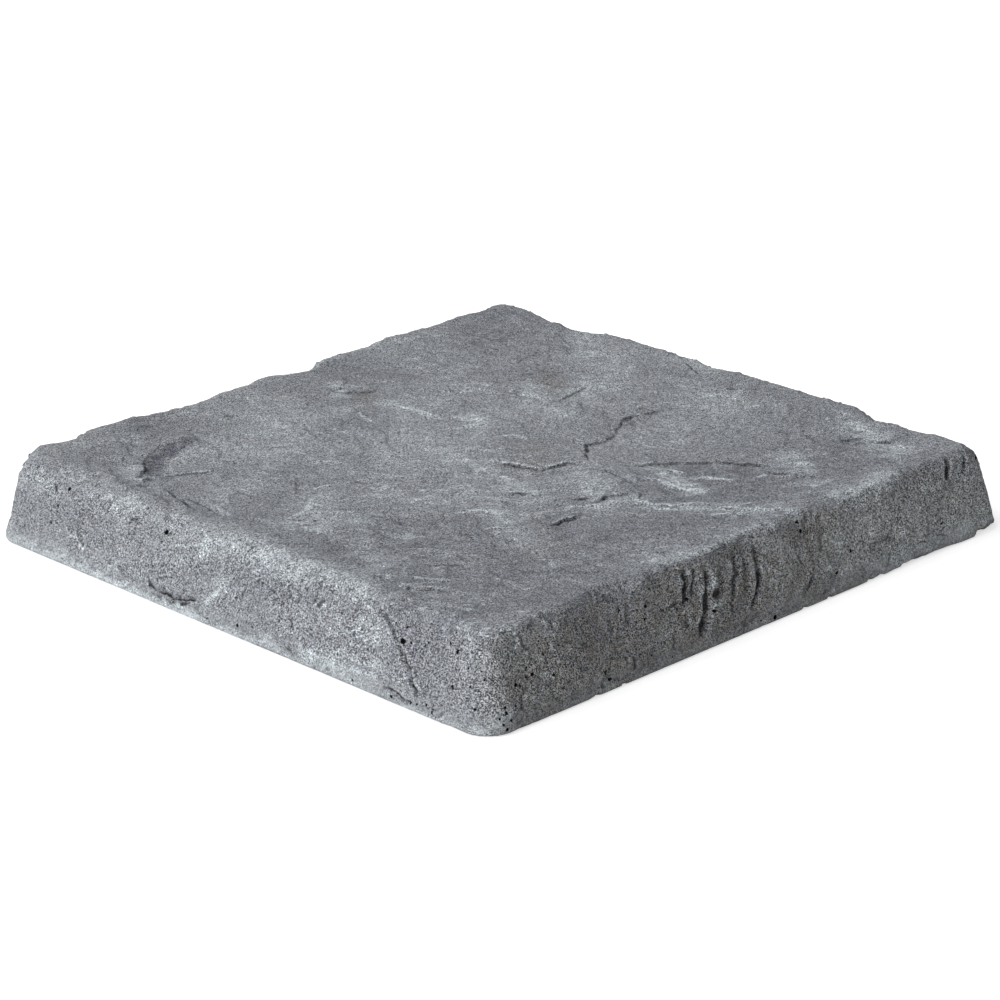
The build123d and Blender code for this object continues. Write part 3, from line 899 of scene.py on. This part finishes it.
front_lime_and_highlight = [
    # The first strokes make the face paler along the bed's edge.
    ([(-200, 1), (-150, 2), (-114, 2)], 7.0, 1.2),
    ([(-114, 2), (-65, 1), (-41, 1), (-20, 2)], 3.5, 1.8),
    ([(-100, 9), (-92, 10)], 3.5, 0.9),
    ([(-20, 2), (59, 2), (129, 2), (199, 2)], 2.4, 0.9),
    ([(31, 6), (43, 4)], 4.0, 1.0),
    ([(63, 7), (74, 8), (89, 7)], 4.0, 1.3),
    ([(100, 9), (120, 11)], 1.6, 1.0),
    ([(-26, 38), (-20, 42), (-13, 46)], 4.0, 1.5),
    ([(-17, 11), (-11, 19), (-5, 27)], 2.0, 1.0),
    # Painted highlight along the front shoulder, in this stroke and the next.
    ([(-13, 46), (5, 45), (20, 46), (44, 45), (66, 50)], 5.0, 0.9),
    ([(-150, 49), (-120, 48), (-90, 46), (-60, 50), (-30, 51)], 6.0, 0.5),
    ([(-190, 40), (-160, 42)], 7.0, 0.4),
    ([(84, 48), (104, 52)], 5.0, 0.5),
    ([(-67, 13), (-89, 19)], 6.0, 0.3),
    ([(99, 50), (101, 47)], 3.0, 0.8),
    ([(107, 33), (112, 35), (118, 31)], 6.0, 0.5),
]
front_damp = [
    ([(-61, 15), (-47, 11), (-35, 19)], 9.0, 0.5),
    ([(-150, 26), (-120, 30), (-100, 38)], 10.0, 0.3),
    ([(40, 34), (60, 36), (84, 36)], 8.0, 0.4),
    ([(-1, 13), (29, 13)], 8.0, 0.3),
    ([(65, 29), (75, 19)], 5.0, 0.4),
    ([(143, 13), (147, 7)], 4.0, 0.5),
    ([(120, 55), (160, 55), (190, 51)], 4.0, 0.5),
    ([(82, 22), (118, 28), (152, 32)], 16.0, 0.45),
]
right_lime = [
    ([(80, 26), (130, 26), (190, 26)], 26, 0.5),
    ([(-18, 39), (-20, 33)], 1.4, 0.9),
    ([(-192, 51), (-194, 29), (-196, 7)], 8.0, 0.7),
    ([(-98, 45), (-90, 49)], 2.5, 0.7),
    ([(62, 32), (72, 28), (68, 25)], 3.0, 0.9),
    ([(64, 13), (74, 15)], 1.8, 0.9),
    ([(80, 51), (94, 47)], 4.0, 1.0),
    ([(106, 50), (124, 49)], 3.0, 1.0),
    ([(12, 43), (24, 37), (36, 29)], 5.0, 0.4),
    ([(-138, 49), (-118, 53)], 4.0, 0.3),
    ([(96, 4), (132, 8), (172, 8), (200, 10)], 9.0, 0.8),
    ([(-158, 2), (-58, 3), (42, 2)], 1.8, 0.3),
    ([(142, 39), (152, 35)], 4.0, 0.6),
]
right_damp = [
    ([(-148, 33), (-118, 29), (-98, 19)], 16.0, 0.4),
    ([(-58, 33), (-38, 29)], 10.0, 0.4),
    ([(-14, 33), (-2, 23)], 9.0, 0.4),
    ([(6, 41), (4, 23)], 5.0, 0.7),
    ([(36, 11), (46, 19), (56, 13)], 8.0, 0.6),
    ([(26, 43), (38, 41)], 6.0, 0.5),
    ([(82, 20), (112, 20)], 4.0, 0.6),
    ([(132, 33), (162, 31)], 7.0, 0.5),
    ([(160, 45), (175, 43)], 4.0, 0.4),
]
right_earth_and_shade_tint = [
    # Partly painted shade colour: this stroke tints the whole shaded right side warm; the others are patches of earth.
    ([(-190, 26), (-100, 26), (0, 26), (100, 26), (195, 26)], 34, 1.0),
    ([(-118, 19), (-58, 23), (-8, 21), (42, 17)], 16.0, 0.8),
    ([(-93, 49), (-82, 51)], 4.0, 0.7),
    ([(102, 7), (132, 11)], 8.0, 0.7),
]
tread_earth = [
    ([(-68, 108), (-52, 98)], 10, 0.7),
    ([(-128, 16), (-116, 6)], 8, 0.7),
    ([(10, 16), (30, 2)], 10, 0.6),
    ([(100, -60), (130, -90)], 14, 0.3),
]
back_lime = [
    ([(-200, 2), (-60, 2), (60, 3), (200, 2)], 3, 0.9),
    ([(-90, 47), (-40, 49), (10, 46)], 6, 0.6),
    ([(110, 47), (170, 48)], 6, 0.5),
    ([(36, 8), (50, 8)], 5, 0.9),
]
back_damp = [([(-60, 20), (-20, 28), (20, 22)], 12, 0.5), ([(90, 22), (130, 30)], 12, 0.5)]
left_lime = [
    ([(-200, 2), (-60, 3), (60, 2), (200, 3)], 3, 0.9),
    ([(-60, 48), (0, 46), (60, 49)], 6, 0.6),
    ([(88, 7), (104, 8)], 5, 0.9),
]
left_damp = [([(-130, 26), (-90, 20)], 12, 0.5), ([(40, 20), (100, 28)], 12, 0.5)]

# %% Put the weights on the skin


def stroked(points, shares, strokes):
    """How strongly a point is touched by any of the strokes on each surface."""
    weight = np.zeros(len(points))
    for name, lines in strokes.items():
        members = np.nonzero(shares[name] > 0)[0]
        flat = points[members][:, surfaces[name]["across"]]
        for line, width, strength in lines:
            inside = near_line(flat, line, 2.5 * width)
            distance, _, _ = along_line(flat[inside], line)
            who = members[inside]
            ragged = distance * (1.0 + 0.5 * lumps(points[who], 0.7 * width + 3, 77))
            touch = strength * shares[name][who] * np.exp(-((ragged / width) ** 2))
            weight[who] = np.maximum(weight[who], touch)
    return weight


points, normals = read_points(stone.data)
shares = facing(normals)
shares["tread"] = ease(0.3, 0.7, normals[:, 2])
_, dark, pale = marks(points, normals)
# Painted shade inside the pits: points inside a pit's ball are weighted to be painted near black, their rims less.
pits = np.zeros(len(points))
rim_weight = 0.42
for place, outward, width in zip(pit_points, pit_normals, pit_widths):
    from_middle = points - place
    in_ball = np.linalg.norm(from_middle, axis=1) < 1.04 * ball_share * width
    pits[in_ball] = np.maximum(pits[in_ball], rim_weight)
    pits[in_ball & (from_middle @ outward < 0.6 * pit_sunk * width)] = 1.0
lime_and_highlight = {"tread": tread_lime_and_highlight, "front": front_lime_and_highlight, "right": right_lime, "back": back_lime, "left": left_lime}
damp_and_shade_strokes = {"tread": tread_damp_and_shade, "front": front_damp, "right": right_damp, "back": back_damp, "left": left_damp}
weights = {
    "lime_and_highlight": stroked(points, shares, lime_and_highlight),
    "lip": pale,
    "damp_and_shade": stroked(points, shares, damp_and_shade_strokes),
    "earth_and_shade_tint": stroked(points, shares, {"tread": tread_earth, "right": right_earth_and_shade_tint}),
    "crevice_dirt_and_shade": dark,
    "pit_shade": pits,
}
for name, weight in weights.items():
    layer = stone.data.attributes.new(name, "FLOAT", "POINT")
    layer.data.foreach_set("value", weight)
    print(name, "mean weight", round(weight.mean(), 3))

# %% Smooth over the skin, sharp at the rims of the pits
sharpest = math.radians(50)
stone.data.shade_smooth()
stone.data.set_sharp_from_angle(angle=sharpest)

# %% [markdown]
# ## Concrete
#
# The colour is cement paste, blue-grey and cloudy, with sand showing through as a fine grain. Lime with painted
# highlights, damp with painted shade, earth with the partly painted shade colour of the right side, dirt with painted
# shade in crevices, and painted shade in the pits lie over it where the weights say, and painted shade lies on the
# shoulders where the surface turns. Each is its own layer of noise at its own size.

# %% The concrete's layers


def from_screen(red, green, blue):
    """The light that these screen values, of 255, stand for."""
    return tuple(((c / 255 + 0.055) / 1.055) ** 2.4 for c in (red, green, blue)) + (1.0,)


paste = from_screen(140, 143, 147)
# The lime colour also paints highlights, the damp colour also paints shade, the earth colour also tints the shaded
# right side, the deep colour is dirt and painted shade in creases, and the pit colour is painted shade.
pale_lime_and_highlight = from_screen(184, 191, 195)
damp_and_shade = from_screen(99, 101, 109)
earth_and_shade_tint = from_screen(120, 114, 105)
deep_dirt_and_shade = from_screen(52, 52, 55)
pit_painted_shade = from_screen(14, 14, 16)


def blend(tree, share, below, above, kind="MIX"):
    node = tree.add("ShaderNodeMix", {0: share, 6: below, 7: above}, data_type="RGBA", blend_type=kind)
    return node.outputs[2]


def make_concrete(material):
    material.use_nodes = True
    material.node_tree.nodes.clear()
    t = Tree(material.node_tree)
    place = t.add("ShaderNodeTexCoord").outputs["Object"]
    normal = t.add("ShaderNodeNewGeometry").outputs["Normal"]
    up = t.add("ShaderNodeSeparateXYZ", {0: normal}).outputs["Z"]
    side = t.eased(up, 0.85, 0.45)

    def weight(name):
        return t.add("ShaderNodeAttribute", attribute_name=name).outputs["Fac"]

    def sand(scale):
        """A random value for each grain, and how far each place is from its grain's middle."""
        cells = t.add("ShaderNodeTexVoronoi", {"Vector": place, "Scale": scale})
        return t.plus(cells.outputs["Color"], -0.5), cells.outputs["Distance"]

    def by_surface(on_tread, on_side):
        """One value on the tread, which runs into another on the sides."""
        return t.plus(t.times(on_tread, t.math("SUBTRACT", 1.0, side)), t.times(on_side, side))

    turned = t.add("ShaderNodeMapping", {"Vector": place, "Rotation": (0, 0, math.radians(-45))}).outputs[0]
    flow = t.stretched(turned, (0.4, 1.0, 1.0))
    clouds = t.noise(place, 14.0, 6.0, 0.62, 0.9)
    patches = t.eased(t.noise(place, 32.0, 4.0, 0.6, 0.6, 5.0), 0.42, 0.58)
    smears = by_surface(t.noise(flow, 60.0, 7.0, 0.70, 1.2), t.noise(place, 60.0, 7.0, 0.72, 1.2))
    wisps = by_surface(t.noise(flow, 190.0, 6.0, 0.72, 0.8), t.noise(place, 190.0, 6.0, 0.75, 0.8))
    threads = t.eased(t.math("ABSOLUTE", t.plus(t.noise(flow, 40.0, 5.0, 0.6, 0.9, 4.0), -0.5)), 0.018, 0.0)
    coarse, coarse_distance = sand(1100.0)
    grain, grain_distance = sand(2100.0)
    broken = t.plus(t.times(smears, 0.5), t.times(wisps, 0.7))
    frayed = t.times(wisps, -0.6)
    shoulder = t.times(t.eased(up, 0.2, 0.45), t.eased(up, 0.98, 0.85))
    colour = blend(t, t.times(t.eased(clouds, 0.60, 0.36), 0.34), paste, damp_and_shade)
    colour = blend(t, t.times(t.eased(smears, 0.53, 0.74), 0.12), colour, pale_lime_and_highlight)
    # Damp and painted shade from the strokes.
    colour = blend(t, t.times(weight("damp_and_shade"), t.eased(broken, 0.80, 0.42), 0.95), colour, damp_and_shade)
    # Earth, and the warm tint of the whole shaded right side, which is partly painted shade colour.
    colour = blend(t, t.times(weight("earth_and_shade_tint"), t.eased(broken, 0.44, 0.74), 0.7), colour, earth_and_shade_tint)
    # Painted shade: the shoulders, between tread and sides, are darkened so that they show no brighter than the faces.
    colour = blend(t, t.times(shoulder, t.eased(broken, 0.70, 0.40), 0.6), colour, damp_and_shade)
    # Lime, and painted highlights on the right arris and the front shoulder.
    colour = blend(t, t.times(weight("lime_and_highlight"), t.eased(broken, 0.36, 0.84)), colour, pale_lime_and_highlight)
    lip, crevice_dirt_and_shade = weight("lip"), weight("crevice_dirt_and_shade")
    # Lime and painted highlight on lips and on the burrs of grooves.
    colour = blend(t, t.times(lip, t.eased(t.plus(lip, frayed), -0.30, 0.10)), colour, pale_lime_and_highlight)
    colour = blend(t, t.times(threads, t.eased(clouds, 0.50, 0.60), 0.6), colour, pale_lime_and_highlight)
    # Dirt and painted shade in creases, at the feet of ledges and in grooves.
    colour = blend(t, t.times(crevice_dirt_and_shade, t.eased(t.plus(crevice_dirt_and_shade, frayed), -0.30, 0.10)), colour, deep_dirt_and_shade)
    height = t.add("ShaderNodeSeparateXYZ", {0: place}).outputs["Z"]
    calm = t.plus(1.0, t.times(side, t.eased(height, 0.014, 0.006), -0.45))
    amount = t.times(t.plus(0.9, t.times(side, t.plus(t.times(patches, 0.4), 0.1))), calm)
    factor = t.times(
        t.math("MAXIMUM", t.plus(1.0, t.times(grain, 3.0, amount)), 0.15),
        t.plus(1.0, t.times(coarse, by_surface(0.5, 0.4), amount)),
        t.eased(wisps, 0.25, 0.75, 0.94, 1.06),
    )
    tint = t.add("ShaderNodeCombineXYZ", {0: factor, 1: factor, 2: factor}).outputs[0]
    colour = blend(t, 1.0, colour, tint, "MULTIPLY")
    # Painted shade: the insides of the pits near black.
    colour = blend(t, t.eased(weight("pit_shade"), 0.30, 0.50), colour, pit_painted_shade)
    grains = t.plus(t.times(coarse_distance, -0.20), t.times(grain_distance, -0.20))
    depth = t.times(t.plus(0.7, t.times(side, t.plus(t.times(patches, 0.8), 0.1))), calm)
    relief = t.times(depth, t.plus(grains, t.times(wisps, 0.2)))
    bump = t.add("ShaderNodeBump", {"Strength": 1.0, "Distance": mm, "Height": relief}).outputs[0]
    surface = t.add("ShaderNodeBsdfPrincipled", {"Base Color": colour, "Roughness": 0.9, "Normal": bump})
    surface.inputs["Specular IOR Level"].default_value = 0.25
    t.add("ShaderNodeOutputMaterial", {0: surface.outputs[0]})


make_concrete(concrete)

# %% [markdown]
# ## The scene
#
# The stone lies on a white table under one wide soft light from the front left, as for a catalogue picture. A weak
# light grazes the right side, so that its grooves show.

# %% Camera
camera_turn = math.radians(46.183)
camera_rise = math.radians(20.957)
camera_roll = math.radians(-1.017)
camera_distance = 2.0284
aim_right, aim_up, aim_height = 0.00219, -0.00551, 0.025
sensor_width = 36.0
camera_lens = 128.666

back = Vector((
    math.sin(camera_turn) * math.cos(camera_rise),
    -math.cos(camera_turn) * math.cos(camera_rise),
    math.sin(camera_rise),
))
right = (-back).cross(Vector((0, 0, 1))).normalized()
up = back.cross(right)
aim = Vector((0, 0, aim_height)) + right * aim_right + up * aim_up
camera = bpy.data.objects.new("camera", bpy.data.cameras.new("camera"))
camera.data.sensor_width = sensor_width
camera.data.lens = camera_lens
level_right = right * math.cos(camera_roll) + up * math.sin(camera_roll)
level_up = up * math.cos(camera_roll) - right * math.sin(camera_roll)
turn = Matrix((level_right, level_up, back)).transposed().to_4x4()
camera.matrix_world = Matrix.Translation(aim + back * camera_distance) @ turn
bpy.context.scene.collection.objects.link(camera)
bpy.context.scene.camera = camera

# %% Lights


def sun(name, towards_light, strength, spread):
    lamp = bpy.data.objects.new(name, bpy.data.lights.new(name, "SUN"))
    lamp.data.energy = strength
    lamp.data.angle = math.radians(spread)
    lamp.rotation_euler = Vector(towards_light).to_track_quat("Z", "Y").to_euler()
    bpy.context.scene.collection.objects.link(lamp)


sun("key", (-0.43, -0.57, 0.70), 2.9, 65)
sun("graze", (0.25, -0.85, 0.35), 1.0, 15)

world = bpy.data.worlds.new("world")
bpy.context.scene.world = world
world.use_nodes = True
world.node_tree.nodes.clear()
t = Tree(world.node_tree)
seen = t.add("ShaderNodeLightPath").outputs["Is Camera Ray"]
strength = t.add("ShaderNodeMapRange", {"Value": seen, "To Min": 0.2, "To Max": 1.0}).outputs[0]
sky = t.add("ShaderNodeBackground", {"Color": (1.0, 1.0, 1.0, 1.0), "Strength": strength}).outputs[0]
t.add("ShaderNodeOutputWorld", {0: sky})

# %% Table
table_half = 3.0
table_corners = [(x * table_half, y * table_half, 0) for x, y in ((-1, -1), (1, -1), (1, 1), (-1, 1))]
table_mesh = bpy.data.meshes.new("table")
table_mesh.from_pydata(table_corners, [], [(0, 1, 2, 3)])
table = bpy.data.objects.new("table", table_mesh)
table.location.z = -0.0003
bpy.context.scene.collection.objects.link(table)
white = bpy.data.materials.new("white_table")
white.use_nodes = True
white.node_tree.nodes.clear()
t = Tree(white.node_tree)
plain = t.add("ShaderNodeBsdfDiffuse", {"Color": (0.7, 0.7, 0.7, 1.0)}).outputs[0]
seen = t.add("ShaderNodeLightPath").outputs["Is Camera Ray"]
glow = t.add("ShaderNodeEmission", {"Color": (1.0, 1.0, 1.0, 1.0), "Strength": t.times(seen, 0.62)}).outputs[0]
both = t.add("ShaderNodeAddShader", {0: plain, 1: glow}).outputs[0]
t.add("ShaderNodeOutputMaterial", {0: both})
table_mesh.materials.append(white)

bpy.context.scene.view_settings.view_transform = "Standard"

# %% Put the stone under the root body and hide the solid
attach(stone, "root")
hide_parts(node_name)
